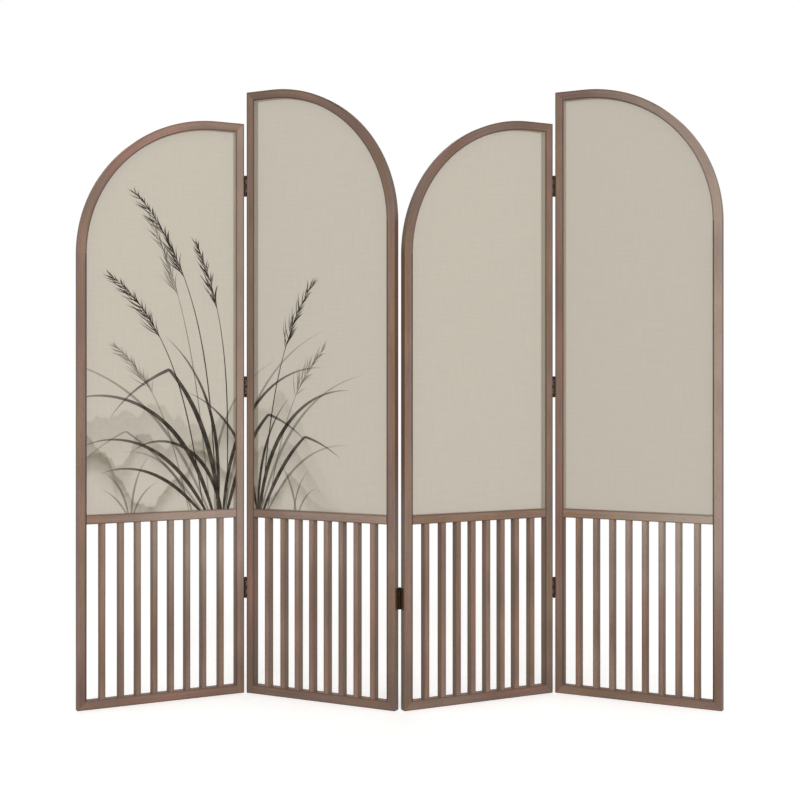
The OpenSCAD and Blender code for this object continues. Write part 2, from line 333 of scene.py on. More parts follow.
def fromArris(put, piece, across, y, angle):
    # distance from the nearest long edge, across the face plus back from it, for the painted edge
    # shade. The free stile's outer edge gets none of it, so it counts as further off, and along the
    # arch this fades in.
    own = timber[piece]
    wide, thick = layout["stock"], layout["thickness"]
    if own["cut"] == "slat":
        wide, thick = slatRow["width"], slatRow["thickness"]
        near = put("ShaderNodeMath", [across, slatRow["pitch"]], operation="FLOORED_MODULO")
    else:
        near = put("ShaderNodeMath", [across, own["start"]], operation="SUBTRACT")
    spare = wide if piece == "free_stile" else 0.0
    if own["cut"] == "arch":
        spare = put("ShaderNodeMapRange", [angle, *edges["paleArc"], 0.0, wide])
    far = put("ShaderNodeMath", [wide, near], operation="SUBTRACT")
    far = put("ShaderNodeMath", [far, spare], operation="ADD")
    inward = put("ShaderNodeMath", [near, far], operation="MINIMUM")
    middle = put("ShaderNodeMath", [y, layout["thickness"] / 2], operation="SUBTRACT")
    off = put("ShaderNodeMath", [middle], operation="ABSOLUTE")
    depth = put("ShaderNodeMath", [thick / 2, off], operation="SUBTRACT")
    return put("ShaderNodeMath", [inward, depth], operation="ADD")


def walnutBoard(name, panel, piece):
    material, put = startMaterial(name)
    own = timber[piece]
    cut, seed = own["cut"], panel * walnut["boardsPerPanel"] + own["board"]
    x, y, z = put("ShaderNodeSeparateXYZ", [panelCoordinates(put, panel)]).outputs
    across, along, angle = grainAxes(put, panel, cut, x, z)
    grain = put("ShaderNodeCombineXYZ", [across, y, along])
    layers = {}
    for key, (wide, run, detail) in walnut["layers"].items():
        spread = put("ShaderNodeMapping", {
            "Vector": grain, "Location": [seed * step for step in walnut["boardStep"]],
            "Scale": (1 / wide, 1 / wide, 1 / run)})
        layers[key] = put("ShaderNodeTexNoise", [spread, 1.0, detail, walnut["layerGrit"]])
    layers["ring"].inputs["Distortion"].default_value = walnut["ringBend"]

    streaks = put("ShaderNodeMath", [layers["streak"], walnut["streakShare"]], operation="MULTIPLY")
    figure = put("ShaderNodeMath", [layers["ring"], walnut["ringShare"], streaks],
                 operation="MULTIPLY_ADD")
    gain = 1 + own["lift"].get(panel, 0.0)
    rings = put("ShaderNodeValToRGB", [figure], tones(walnut["rings"], gain))
    bands = put("ShaderNodeValToRGB", [layers["band"]], tones(walnut["bands"], gain))
    share = walnut["bandShare"].get(cut, walnut["bandUsual"])
    wood = put("ShaderNodeMix", [share, rings, bands], data_type="RGBA")
    # painted light: a paler pool of it over parts of the boards
    glowing = paintedGlowReach.get(panel, {})
    if piece in glowing:
        reach = [put("ShaderNodeMapRange", [value, *glowing[way]], **smooth)
                 for value, way in ((x, "across"), (z, "up"))]
        share = put("ShaderNodeMath", reach, operation="MULTIPLY")
        share = put("ShaderNodeMath", [share, glowing[piece]], operation="MULTIPLY")
        wood = put("ShaderNodeMix", [share, wood, tone(walnut["paintedGlow"])], data_type="RGBA")
    level = put("ShaderNodeMapRange", [layers["wander"], *noiseSpan, *walnut["wander"]])
    if "feet" in own:
        # the stiles darken towards the floor, down to the level given
        dry, wet, left = own["feet"]
        towardsFloor = put("ShaderNodeMapRange", [z, dry, wet, 1.0, left], **smooth)
        level = put("ShaderNodeMath", [level, towardsFloor], operation="MULTIPLY")
    if cut == "arch":
        turned = put("ShaderNodeMath", [angle, math.pi / 2], operation="DIVIDE")
        drift = put("ShaderNodeValToRGB", [turned], [
            (place, (deep, deep, deep, 1.0)) for place, deep in archDrift[panel]])
        level = put("ShaderNodeMath", [level, drift], operation="MULTIPLY")
    wood = put("ShaderNodeVectorMath", [wood, level], operation="SCALE")
    pores = put("ShaderNodeMapRange",
                [layers["pore"], *walnut["poreSpan"], 0.0, walnut["poreShare"]])
    # painted shade darkens the eased edges, with some oil and dust
    dark, full, end = own["edgeShade"]
    shadedEdge = put("ShaderNodeMapRange",
                [fromArris(put, piece, across, y, angle), full, end, dark, 0.0], **smooth)
    for share, colour in (sawnEdge(put, panel, piece, z), (pores, tone(walnut["pore"])),
                          (shadedEdge, tone(walnut["edgeShade"]))):
        wood = put("ShaderNodeMix", [share, wood, colour], data_type="RGBA")
    if cut == "slat":
        which = put("ShaderNodeMath", [across, slatRow["pitch"]], operation="DIVIDE")
        which = put("ShaderNodeMath", [which], operation="FLOOR")
        which = put("ShaderNodeMath", [which, seed], operation="ADD")
        lot = put("ShaderNodeTexWhiteNoise", [which], noise_dimensions="1D")
        level = put("ShaderNodeMapRange", [lot, 0.0, 1.0, *slatRow["levels"]])
        wood = put("ShaderNodeVectorMath", [wood, level], operation="SCALE")
    rough = put("ShaderNodeMapRange", [layers["streak"], *noiseSpan, *walnut["roughness"]])
    dents = put("ShaderNodeMath", [figure, pores], operation="SUBTRACT")
    bump = put("ShaderNodeBump", {"Height": dents, **walnut["relief"]})
    shader = put("ShaderNodeBsdfPrincipled", {
        "Base Color": wood, "Roughness": rough, "IOR": walnut["ior"],
        "Specular IOR Level": walnut["gloss"], "Normal": bump})
    put("ShaderNodeOutputMaterial", [shader])
    return material


for panel in layout["heights"]:
    for piece in timber:
        node = f"panel_{panel}_{piece}"
        wear(node, walnutBoard(f"oiledWalnut_{node}", panel, piece))
print("walnut boards finished:", len(layout["heights"]) * len(timber))

# Steamed beech, sawn and left bare: pale pinkish tan with short dark ray flecks 1 to 3 mm long
beech = {"rays": ((0.36, "#94683f"), (0.45, "#bf9868"), (0.62, "#cfae82")),
         "spread": (900, 900, 120), "detail": 2.0, "roughness": 0.62, "ior": 1.5,
         "relief": {"Strength": 0.3, "Distance": 0.0002}}
beechBare, put = startMaterial("sawnBeech")
where = put("ShaderNodeTexCoord").outputs["Object"]
spread = put("ShaderNodeMapping", {"Vector": where, "Scale": beech["spread"]})
rays = put("ShaderNodeTexNoise", [spread, 1.0, beech["detail"]])
wood = put("ShaderNodeValToRGB", [rays], tones(beech["rays"]))
shader = put("ShaderNodeBsdfPrincipled", {
    "Base Color": wood, "Roughness": beech["roughness"], "IOR": beech["ior"],
    "Normal": put("ShaderNodeBump", {"Height": rays, **beech["relief"]})})
put("ShaderNodeOutputMaterial", [shader])

# Extruded EPDM spline: a dull warm grey rubber with die lines about 0.4 mm apart
rubber = {"dull": "#8f8a7c", "dusty": "#9c978a", "roughness": 0.78, "ior": 1.52,
          "dust": (60.0, 4.0), "lines": (2500.0, 1.0),   # noise: scale and detail
          "relief": {"Strength": 0.2, "Distance": 0.0001}}
splineRubber, put = startMaterial("extrudedRubber")
where = put("ShaderNodeTexCoord").outputs["Object"]
dust, lines = (put("ShaderNodeTexNoise", [where, *rubber[key]]) for key in ("dust", "lines"))
grey = put("ShaderNodeMix", [dust, tone(rubber["dull"]), tone(rubber["dusty"])], data_type="RGBA")
shader = put("ShaderNodeBsdfPrincipled", {
    "Base Color": grey, "Roughness": rubber["roughness"], "IOR": rubber["ior"],
    "Normal": put("ShaderNodeBump", {"Height": lines, **rubber["relief"]})})
put("ShaderNodeOutputMaterial", [shader])

for panel in layout["heights"]:
    wear(f"panel_{panel}_loose_tenons", beechBare)
    wear(f"panel_{panel}_gauze_splines", splineRubber)

# Oil-rubbed bronze plating on steel: nearly black, brown where hands rub the knuckles. The
# leaves' faces rub on each other and are worn to the bronze, in patches of about 5 mm.
bronze = {
    "oiled": ((0.42, "#35281b"), (0.60, "#453221"), (0.78, "#59442d")), "leafFace": "#7a6344",
    "metallic": 0.95, "patch": 0.005, "detail": 4.0, "grit": 0.6, "roughness": (0.58, 0.44),
    "leaf": (0.0042, 0.0065),    # from the axis: where the knuckle ends and the leaf begins
    "relief": {"Strength": 0.06, "Distance": 0.0002}}


def rubBronze(name, axis, shadeLevel):
    material, put = startMaterial(name)
    where = put("ShaderNodeTexCoord").outputs["Object"]
    patches = put("ShaderNodeTexNoise", [
        where, 1 / bronze["patch"], bronze["detail"], bronze["grit"]])
    # painted shade: the centre fold's knuckles, set back between the panels, are darker
    knuckle = put("ShaderNodeValToRGB", [patches], tones(bronze["oiled"], shadeLevel))
    level = put("ShaderNodeVectorMath", [where, (1, 1, 0), (-axis.x, -axis.y, 0)],
                operation="MULTIPLY_ADD")
    reach = put("ShaderNodeVectorMath", [level], operation="LENGTH")
    onLeaf = put("ShaderNodeMapRange", [reach, *bronze["leaf"]], **smooth)
    shader = put("ShaderNodeBsdfPrincipled", {
        "Base Color": put(
            "ShaderNodeMix", [onLeaf, knuckle, tone(bronze["leafFace"])], data_type="RGBA"),
        "Metallic": bronze["metallic"],
        "Roughness": put("ShaderNodeMapRange", [patches, *noiseSpan, *bronze["roughness"]]),
        "Normal": put("ShaderNodeBump", {"Height": patches, **bronze["relief"]})})
    put("ShaderNodeOutputMaterial", [shader])
    return material


for fold, own in folds.items():
    axis = standPanel(own["fixed"]) @ Vector(axes[own["stile"]][0])
    plated = rubBronze(f"oilRubbedBronze_{fold}", axis, own["shadeLevel"])
    for piece in ("fixed_leaves", "swing_leaves", "pins"):
        wear(f"{fold}_{piece}", plated)
print("hinges plated:", len(folds), "folds")

# Bronzed steel screws, turned: fine rings round the head, bare bright metal in the recess
screwPlan = {
    "head": 0.0031, "headDepth": 0.0015, "shank": 0.0016, "core": 0.0011, "length": 0.016,
    "tip": 0.0003, "tipSlope": 0.4, "sides": 24,
    "threadPitch": 0.0013, "threadStart": 0.0045, "threadRings": 6, "threadSharp": 2.4,
    "crossArm": 0.0018, "crossHalf": 0.00042, "crossDepth": 0.0012, "crossTaper": 0.62,
    "pitch": 0.020, "count": 3, "anyTurn": 1.57,
    "inset": 0.0015,      # leaf face from the axis, where the head's top lies
    "offset": 0.0127,     # middle of the leaf from the axis, across the panel's edge
    "lowest": 0.316, "rise": 0.6015,
    "steel": ((0.38, "#4b4036"), (0.55, "#6b5b4a"), (0.7, "#8a7860")),
    "spots": (900.0, 3.0), "roughness": (0.42, 0.28),   # noise: scale and detail
}
bronzedSteel, put = startMaterial("bronzedSteel")
where = put("ShaderNodeTexCoord").outputs["Object"]
spots = put("ShaderNodeTexNoise", [where, *screwPlan["spots"]])
shader = put("ShaderNodeBsdfPrincipled", {
    "Base Color": put("ShaderNodeValToRGB", [spots], tones(screwPlan["steel"])), "Metallic": 1.0,
    "Roughness": put("ShaderNodeMapRange", [spots, *noiseSpan, *screwPlan["roughness"]])})
put("ShaderNodeOutputMaterial", [shader])


def bridge(form, first, second):
    # a band of faces between two rings of points
    count = len(first)
    for k in range(count):
        form.faces.new((first[k], first[(k + 1) % count], second[(k + 1) % count], second[k]))


def turnScrew():
    # one countersunk screw along +z from the top of its head, with a cross recess and a thread
    p, form, sides = screwPlan, bmesh.new(), screwPlan["sides"]
    circle = [(math.cos(2 * math.pi * k / sides), math.sin(2 * math.pi * k / sides))
              for k in range(sides)]
    rim = [form.verts.new((p["head"] * u, p["head"] * v, 0)) for u, v in circle]
    a, b = p["crossHalf"], p["crossArm"]
    cross = [(a, a), (b, a), (b, -a), (a, -a), (a, -b), (-a, -b),
             (-a, -a), (-b, -a), (-b, a), (-a, a), (-a, b), (a, b)]
    mouth, floor = ([form.verts.new((u * share, v * share, z)) for u, v in cross]
                    for share, z in ((1.0, 0.0), (p["crossTaper"], p["crossDepth"])))
    loops = [form.edges.new((ring[k], ring[(k + 1) % len(ring)]))
             for ring in (rim, mouth) for k in range(len(ring))]
    bmesh.ops.triangle_fill(form, edges=loops, use_beauty=True)
    bridge(form, mouth, floor)
    form.faces.new(floor)
    last, end, step = rim, p["length"], p["threadPitch"] / p["threadRings"]
    heights = [p["headDepth"]]
    while heights[-1] + step < end:
        heights.append(heights[-1] + step)
    for z in heights + [end]:
        ring = []
        for k, (u, v) in enumerate(circle):
            radius = p["shank"]
            if z > p["threadStart"]:
                ridge = abs(((z / p["threadPitch"] - k / sides) % 1.0) - 0.5) * 2
                radius = p["core"] + (p["shank"] - p["core"]) * max(
                    0.0, 1 - p["threadSharp"] * ridge)
            radius = min(radius, p["tip"] + (end - z) * p["tipSlope"])
            ring.append(form.verts.new((radius * u, radius * v, z)))
        bridge(form, last, ring)
        last = ring
    form.faces.new(last)
    bmesh.ops.recalc_face_normals(form, faces=form.faces)
    return addObject("screwForm", keepForm(form, "screwForm"))


def newTree(name, **sockets):
    # an empty Geometry Nodes tree with inputs named by kind, what adds a node to it, its inputs
    tree = bpy.data.node_groups.new(name, "GeometryNodeTree")
    tree.interface.new_socket(name="Geometry", in_out="OUTPUT", socket_type="NodeSocketGeometry")
    for kind, labels in {"Geometry": ["Geometry"], **sockets}.items():
        for label in labels:
            tree.interface.new_socket(name=label, in_out="INPUT", socket_type=f"NodeSocket{kind}")
    put = partial(addNode, tree)
    return tree, put, put("NodeGroupInput").outputs


def runTree(name, tree, host, sizes, place=None):
    # sets the tree's inputs, evaluates it on the host, and leaves a plain mesh object
    live = host.modifiers.new("made", "NODES")
    live.node_group = tree
    for item in tree.interface.items_tree:
        if item.name in sizes:
            live[item.identifier] = sizes[item.name]
    ready = host.evaluated_get(bpy.context.evaluated_depsgraph_get())
    mesh = bpy.data.meshes.new_from_object(ready)
    host.modifiers.remove(live)
    if place is not None:
        moveMesh(mesh, place)
    mesh.name = name
    return addObject(name, mesh)


# Screws: a row of them in every leaf, repeated up the edge of the panel
screwTree, put, given = newTree("screwRows", Object=["Screw"], Float=["Pitch", "Rise", "Lowest"],
                                Int=["Count", "Hinges", "Seed"])
up, far, low = (put("ShaderNodeCombineXYZ", {2: given[key]}) for key in ("Pitch", "Rise", "Lowest"))
under = put("ShaderNodeVectorMath", [up, -1.0], operation="SCALE")
row = put("GeometryNodeMeshLine", [given["Count"], under, up])
hinges = put("GeometryNodeMeshLine", [given["Hinges"], low, far])
rows = put("GeometryNodeInstanceOnPoints", {"Points": hinges, "Instance": row})
places = put("GeometryNodeRealizeInstances", [rows])
form = put("GeometryNodeObjectInfo", [given["Screw"]])
anyTurn = put("FunctionNodeRandomValue", {
    2: 0.0, 3: screwPlan["anyTurn"], "Seed": given["Seed"]}, data_type="FLOAT")
spin = put("ShaderNodeCombineXYZ", {2: anyTurn})
aside = put("FunctionNodeEulerToRotation", [(0.0, math.pi / 2, 0.0)])
about = put("FunctionNodeEulerToRotation", [spin])
driven = put("GeometryNodeInstanceOnPoints", {
    "Points": places, "Instance": form.outputs["Geometry"],
    "Rotation": put("FunctionNodeRotateRotation", [aside, about], rotation_space="LOCAL")})
whole = put("GeometryNodeRealizeInstances", [driven])
coated = put("GeometryNodeSetMaterial", {0: whole, "Material": bronzedSteel})
put("NodeGroupOutput", {0: coated})

screwForm = turnScrew()
screwHost = addObject("screwHost", bpy.data.meshes.new("screwHost"))
for fold, own in folds.items():
    corner, turn = axes[own["stile"]]
    for side in ("fixed", "swing"):
        panel = own[side]
        place = (standPanel(panel) @ Matrix.Translation(corner) @ Matrix.Rotation(turn, 4, "Z")
                 @ Matrix.Translation((screwPlan["inset"], screwPlan["offset"], 0)))
        screws = runTree(f"{fold}_{side}_screwSet", screwTree, screwHost, {
            "Screw": screwForm, "Pitch": screwPlan["pitch"], "Count": screwPlan["count"],
            "Hinges": own["hinges"], "Rise": screwPlan["rise"], "Lowest": screwPlan["lowest"],
            "Seed": panel}, place)
        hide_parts(f"{fold}_{side}_screws")
        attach(screws, f"panel_{panel}")
for helper in (screwForm, screwHost):
    bpy.data.objects.remove(helper)
print("screws set:", sum(2 * own["hinges"] * screwPlan["count"] for own in folds.values()))

# Polyester voile in a plain weave, stretched in its groove: a warm grey-beige that shows what is
# behind it. Its threads, 0.15 mm at 0.35 mm spacing, are too fine to show, so the slubs, thicker
# stretches of thread, are drawn 3 mm wide and 40 to 120 mm long.
gauze = {
    "cloth": "#b2a997",
    "slubPale": "#b5ac9a",
    "paintedLevel": {1: 1.012, 2: 1.0, 3: 0.99, 4: 0.945},   # painted shade and light: each panel's sheet is scaled for the light it gets
    "cover": (0.563, 0.577),   # it varies with the slubs
    # warp and weft: the slubs' size across and up, and the step from panel to panel in the noise
    "threads": (((0.003, 0.09), (5.3, 2.9)), ((0.09, 0.003), (3.1, 7.7))),
    "threadDetail": 2.0,
    "weaveSpan": (0.7, 1.3),
    "relief": {"Strength": 0.05, "Distance": 0.0003},
    "through": 0.35,      # share of the light that comes from behind the threads
    "inset": 0.00265,     # middle of the sheet behind the frame's face
    "grip": 0.0049,       # how far the edge goes into the groove
    "levelColumns": 4, "arcColumns": 48, "rows": 40,
}

# Ink wash hills that run over the first two panels and fade out: height above the gauze's
# lower edge, rise, length of a slope, depth of the wash, strength, place in the noise
hills = [(0.320, 0.170, 0.30, 0.180, 0.32, 2.3), (0.215, 0.130, 0.23, 0.130, 0.50, 7.9),
         (0.105, 0.080, 0.17, 0.080, 0.66, 13.4)]
ink = {"black": "#231e19", "brown": "#4a4036", "wash": "#665d4e"}
wash = {
    "foldGap": 0.05,          # the picture goes on over the frames and the fold between
    "grain": (55.0, 5.0), "patchy": (0.75, 1.1),   # noise: scale and detail
    "ends": (0.56, 0.86),     # along the picture
    "slope": (4.0, 0.45), "slopeSpan": (0.25, 0.75),   # noise: detail and grit
    "rim": (-0.002, 0.007),   # how sharp a hill's outline is
    "body": 0.3,              # how much the ink adds to the cloth's cover
}


def washHills(put, panel, wide, metres, colour, cover):
    # lays the hills over the cloth's colour, and closes the cloth a little where they are wet
    aside, height, _ = put("ShaderNodeSeparateXYZ", [metres]).outputs
    along = put("ShaderNodeMath", [aside, 0.0 if panel == 1 else wide + wash["foldGap"]],
                operation="ADD")
    grain = put("ShaderNodeTexNoise", [metres, *wash["grain"]], noise_dimensions="2D")
    ends = put("ShaderNodeMapRange", [along, *wash["ends"], 1.0, 0.0], **smooth)
    patchy = put("ShaderNodeMapRange", [grain, *noiseSpan, *wash["patchy"]])
    for base, rise, run, fade, strength, seed in hills:
        place = put("ShaderNodeMath", [along, 1 / run, seed], operation="MULTIPLY_ADD")
        slope = put("ShaderNodeTexNoise", [place, 1.0, *wash["slope"]], noise_dimensions="1D")
        ridge = put("ShaderNodeMapRange", [slope, *wash["slopeSpan"], base - rise, base + rise])
        ridge = put("ShaderNodeMath", [ridge, ends], operation="MULTIPLY")
        under = put("ShaderNodeMath", [ridge, height], operation="SUBTRACT")
        rim = put("ShaderNodeMapRange", [under, *wash["rim"]], **smooth)
        mist = put("ShaderNodeMapRange", [under, 0.0, fade, strength, 0.0], **smooth)
        wet = put("ShaderNodeMath", [rim, mist], operation="MULTIPLY")
        for share in (patchy, ends):
            wet = put("ShaderNodeMath", [wet, share], operation="MULTIPLY", use_clamp=True)
        colour = put("ShaderNodeMix", [wet, colour, tone(ink["wash"])], data_type="RGBA")
        cover = put("ShaderNodeMath", [wet, wash["body"], cover],
                    operation="MULTIPLY_ADD", use_clamp=True)
    return colour, cover


def voile(name, panel, wide, long, painted):
    material, put = startMaterial(name)
    metres = put("ShaderNodeMapping", {
        "Vector": put("ShaderNodeUVMap", uv_map="cloth"), "Scale": (wide, long, 1)})
    threads = []
    for (across, upward), step in gauze["threads"]:
        laid = put("ShaderNodeMapping", {
            "Vector": metres, "Location": (panel * step[0], panel * step[1], 0),
            "Scale": (1 / across, 1 / upward, 1)})
        threads.append(put("ShaderNodeTexNoise", [laid, 1.0, gauze["threadDetail"]],
                           noise_dimensions="2D"))
    weave = put("ShaderNodeMath", threads, operation="ADD")
    # each sheet's colour carries its panel's painted shade and light
    colour = put("ShaderNodeMix", [
        put("ShaderNodeMapRange", [weave, *gauze["weaveSpan"]]),
        *[tone(gauze[key], gauze["paintedLevel"][panel]) for key in ("cloth", "slubPale")]],
        data_type="RGBA")
    cover = put("ShaderNodeMapRange", [weave, *gauze["weaveSpan"], *gauze["cover"]])
    if painted:
        colour, cover = washHills(put, panel, wide, metres, colour, cover)
    relief = put("ShaderNodeBump", {"Height": weave, **gauze["relief"]})
    front, back = (put(kind, {"Color": colour, "Normal": relief})
                   for kind in ("ShaderNodeBsdfDiffuse", "ShaderNodeBsdfTranslucent"))
    cloth = put("ShaderNodeMixShader", [gauze["through"], front, back])
    clear = put("ShaderNodeBsdfTransparent")
    put("ShaderNodeOutputMaterial", [put("ShaderNodeMixShader", [cover, clear, cloth])])
    return material


def stretchGauze(name, panel, depth):
    # a flat sheet cut to the arched bay, its edge in the groove, with its own map of the cloth
    left = layout["stock"] - gauze["grip"]
    right = layout["width"] - left
    low = layout["midRailTop"] - gauze["grip"]
    radius = layout["archRadius"] - layout["stock"] + gauze["grip"]
    top = springs[panel] + radius
    level, arc, rows = gauze["levelColumns"], gauze["arcColumns"], gauze["rows"]
    columns = [(left + (archCentre - left) * k / level, top) for k in range(level)]
    columns += [(archCentre + radius * math.sin(math.pi / 2 * k / arc),
                 springs[panel] + radius * math.cos(math.pi / 2 * k / arc))
                for k in range(arc + 1)]
    form = bmesh.new()
    flat = form.loops.layers.uv.new("cloth")
    grid = [[form.verts.new((x, depth, low + (high - low) * k / rows)) for k in range(rows + 1)]
            for x, high in columns]
    for here, beyond in zip(grid, grid[1:]):
        for k in range(rows):
            face = form.faces.new((here[k], beyond[k], beyond[k + 1], here[k + 1]))
            for loop in face.loops:
                x, _, z = loop.vert.co
                across = (right - x) if panel % 2 else (x - left)
                loop[flat].uv = (across / (right - left), (z - low) / (top - low))
    mesh = keepForm(form, name)
    moveMesh(mesh, standPanel(panel))
    wide, long = right - left, top - low
    return addObject(name, mesh), wide, long, wide * long - (1 - math.pi / 4) * radius ** 2


for panel in layout["heights"]:
    for face, depth in (("front", gauze["inset"]),
                        ("back", layout["thickness"] - gauze["inset"])):
        sheet, wide, long, area = stretchGauze(f"panel_{panel}_{face}_voile", panel, depth)
        painted = face == "front" and panel in (1, 2)
        weave = voile(f"polyesterVoile_{panel}_{face}", panel, wide, long, painted)
        sheet.data.materials.append(weave)
        node = f"panel_{panel}_{face}_gauze"
        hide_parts(node)
        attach(sheet, f"panel_{panel}")
print("gauze stretched:", 2 * len(layout["heights"]), "sheets")

# Carbon ink brushed on the cloth: matt, near black where the brush is full, brown and broken
# where it runs dry. Silver grass leans over the hills and goes on over the fold. A point of the
# drawing is metres from the first bay's left edge, and height above the floor.
grass = {
    "fold": 0.502,        # where the second bay starts, along the drawing
    "foot": 0.5532,       # top of the mid rail
    "rootDepth": 0.004,
    "bayWidth": 0.4436,
    "bayStart": 0.0005,
    "lift": 0.0003,       # the ink stands this far in front of the sheet's middle
    "overlap": 0.000008,  # and each line this far in front of the last
    "bladeWidth": 0.0125,
    "bladeStep": 0.008,
    "bladeBend": 1.7,     # the bend gathers at the tip with this power of the way along
    "stemWidth": 0.0036,
    "stemBend": 2.4,
    "hairWidth": 0.0026,
    "hairLength": 0.066,
    "hairSpacing": 0.0042,
    "hairBow": (0.5, 0.10, 0.0),
    "hairTip": 0.45,      # how long the last hairs are, against the first
    "hairUneven": (0.65, 1.15),
    "lean": 0.60,
    "foldAt": 0.66,       # where along its length a folded blade turns down
    "seed": 11,
    "pathSteps": 60, "hairSteps": 6, "across": 3,   # pieces along a line, and points across it
    "press": ((0.0, 0.45), (1.0, 0.03), (0.30, 1.0), (0.65, 0.72)),   # landing, lift, between
}
brush = {
    "bristles": (5, 9, 1), "bristleDetail": 3.0, "pool": (38.0, 3.0),   # noise: scale, detail
    "pooled": (0.42, 0.72), "dry": (0.45, 1.0), "dryShare": 0.9,
    "roughness": 0.85, "ior": 1.45, "gloss": 0.15,
    # how well a stroke covers the cloth, with full and with thinned ink, and their two colours
    "inks": {"full": ("carbonInk", 0.94, "black", "brown"),
             "thin": ("carbonInkThinned", 0.5, "brown", "wash")},
}
# root along the drawing, heading (degrees right of upright), length, bend, plume length
stems = {
    "full": [(0.385, -3, 0.98, -40, 0.29), (0.345, -9, 0.76, -44, 0.24),
             (0.416, 1, 0.80, -26, 0.22), (0.528, 6, 0.70, 30, 0.22)],
    "thin": [(0.365, -6, 0.88, -20, 0.25), (0.300, -13, 0.54, -38, 0.18),
             (0.548, 12, 0.52, 34, 0.17)],
}
# root, heading, length, bend, width against the dictionary's, turn where the blade is folded
blades = {
    "full": [
        (0.372, -18, 0.62, -98, 1.0, 0), (0.395, -8, 0.68, -66, 1.1, -72),
        (0.405, 6, 0.60, 88, 0.9, 0), (0.352, -30, 0.46, -86, 0.9, 0),
        (0.418, 14, 0.48, 60, 1.0, 64), (0.388, 2, 0.56, -52, 0.8, 0),
        (0.335, -42, 0.34, -70, 0.8, 0), (0.520, 10, 0.52, 84, 1.0, 0),
        (0.512, -10, 0.44, -60, 0.8, 0), (0.534, 24, 0.40, 48, 0.9, 58),
        (0.400, -14, 0.40, -120, 0.9, 0), (0.515, 3, 0.36, 40, 0.7, 0)],
    "thin": [
        (0.360, -24, 0.70, -64, 0.7, 0), (0.410, 10, 0.66, 60, 0.7, 0),
        (0.340, -36, 0.50, -40, 0.6, -60), (0.380, -2, 0.52, 70, 0.6, 0),
        (0.525, 18, 0.56, 62, 0.7, 0), (0.550, 30, 0.36, 66, 0.6, 0),
        (0.310, -20, 0.30, -80, 0.6, 0), (0.120, -12, 0.15, -50, 0.5, 0),
        (0.128, 4, 0.18, 36, 0.5, 0), (0.134, 20, 0.12, 50, 0.4, 0),
        (0.116, -30, 0.11, -40, 0.4, 0), (0.640, 8, 0.14, 40, 0.4, 0),
        (0.648, -10, 0.17, -36, 0.5, 0), (0.656, 22, 0.10, 50, 0.4, 0)],
}


def brushInk(name, black, brown, load):
    # load is how much ink the brush carries: how well a stroke covers the cloth
    material, put = startMaterial(name)
    flat = put("ShaderNodeUVMap", uv_map="brush")
    along = put("ShaderNodeSeparateXYZ", [flat]).outputs[0]
    bristles = put("ShaderNodeMapping", {"Vector": flat, "Scale": brush["bristles"]})
    hairs = put("ShaderNodeTexNoise", [bristles, 1.0, brush["bristleDetail"]],
                noise_dimensions="2D")
    where = put("ShaderNodeTexCoord").outputs["Object"]
    pool = put("ShaderNodeTexNoise", [where, *brush["pool"]])
    pooled = put("ShaderNodeMapRange", [pool, *brush["pooled"]])
    dry = put("ShaderNodeMapRange", [along, *brush["dry"], 0.0, brush["dryShare"]], **smooth)
    gaps = put("ShaderNodeMath", [dry, hairs], operation="MULTIPLY")
    shader = put("ShaderNodeBsdfPrincipled", {
        "Base Color": put("ShaderNodeMix", [pooled, tone(black), tone(brown)], data_type="RGBA"),
        "Roughness": brush["roughness"], "IOR": brush["ior"], "Specular IOR Level": brush["gloss"],
        "Alpha": put("ShaderNodeMath", [gaps, -load, load], operation="MULTIPLY_ADD",
                     use_clamp=True)})
    put("ShaderNodeOutputMaterial", [shader])
    return material


def brushed(put, line, width, material):
    # a line becomes a flat stroke: thin where the brush lands, then full, drawn out to a point
    reach = put("GeometryNodeSplineParameter").outputs["Factor"]
    press = put("ShaderNodeFloatCurve", {1: reach})
    shape = press.mapping.curves[0]
    shape.points[0].location, shape.points[1].location = grass["press"][:2]
    for spot in grass["press"][2:]:
        shape.points.new(*spot)
    press.mapping.update()
    wide = put("ShaderNodeMath", [press, put("GeometryNodeInputRadius")], operation="MULTIPLY")
    wide = put("ShaderNodeMath", [wide, width], operation="MULTIPLY")
    upright = put("GeometryNodeSetCurveNormal", [line], mode="Z_UP")
    tip = put("GeometryNodeCurvePrimitiveLine", [(-0.5, 0, 0), (0.5, 0, 0)])
    fine = put("GeometryNodeResampleCurve", {"Curve": tip, "Count": grass["across"]})
    side = put("ShaderNodeSeparateXYZ", [put("GeometryNodeInputPosition")])
    # how far along the stroke and how far across it a point lies, for the ink's own map
    kept = []
    for key, curve, value in (("gone", upright, reach), ("over", fine, side.outputs[0])):
        capture = put("GeometryNodeCaptureAttribute")
        capture.capture_items.new("FLOAT", key)
        capture.id_data.links.new(curve.outputs[0], capture.inputs[0])
        capture.id_data.links.new(value, capture.inputs[1])
        kept.append(capture.outputs)
    ribbon = put("GeometryNodeCurveToMesh", {
        "Curve": kept[0][0], "Profile Curve": kept[1][0], "Scale": wide})
    pair = put("ShaderNodeCombineXYZ", [kept[0][1], kept[1][1]])
    mapped = put("GeometryNodeStoreNamedAttribute", {
        "Geometry": ribbon, "Name": "brush", "Value": pair}, data_type="FLOAT2", domain="CORNER")
    whole = put("GeometryNodeRealizeInstances", [mapped])
    return put("GeometryNodeSetMaterial", {0: whole, "Material": material})


def strokeTree(name, material):
    tree, put, given = newTree(name, Float=["Width", "Step"])
    even = put("GeometryNodeResampleCurve", {
        "Curve": given["Geometry"], "Length": given["Step"]}, mode="LENGTH")
    put("NodeGroupOutput", {0: brushed(put, even, given["Width"], material)})
    return tree


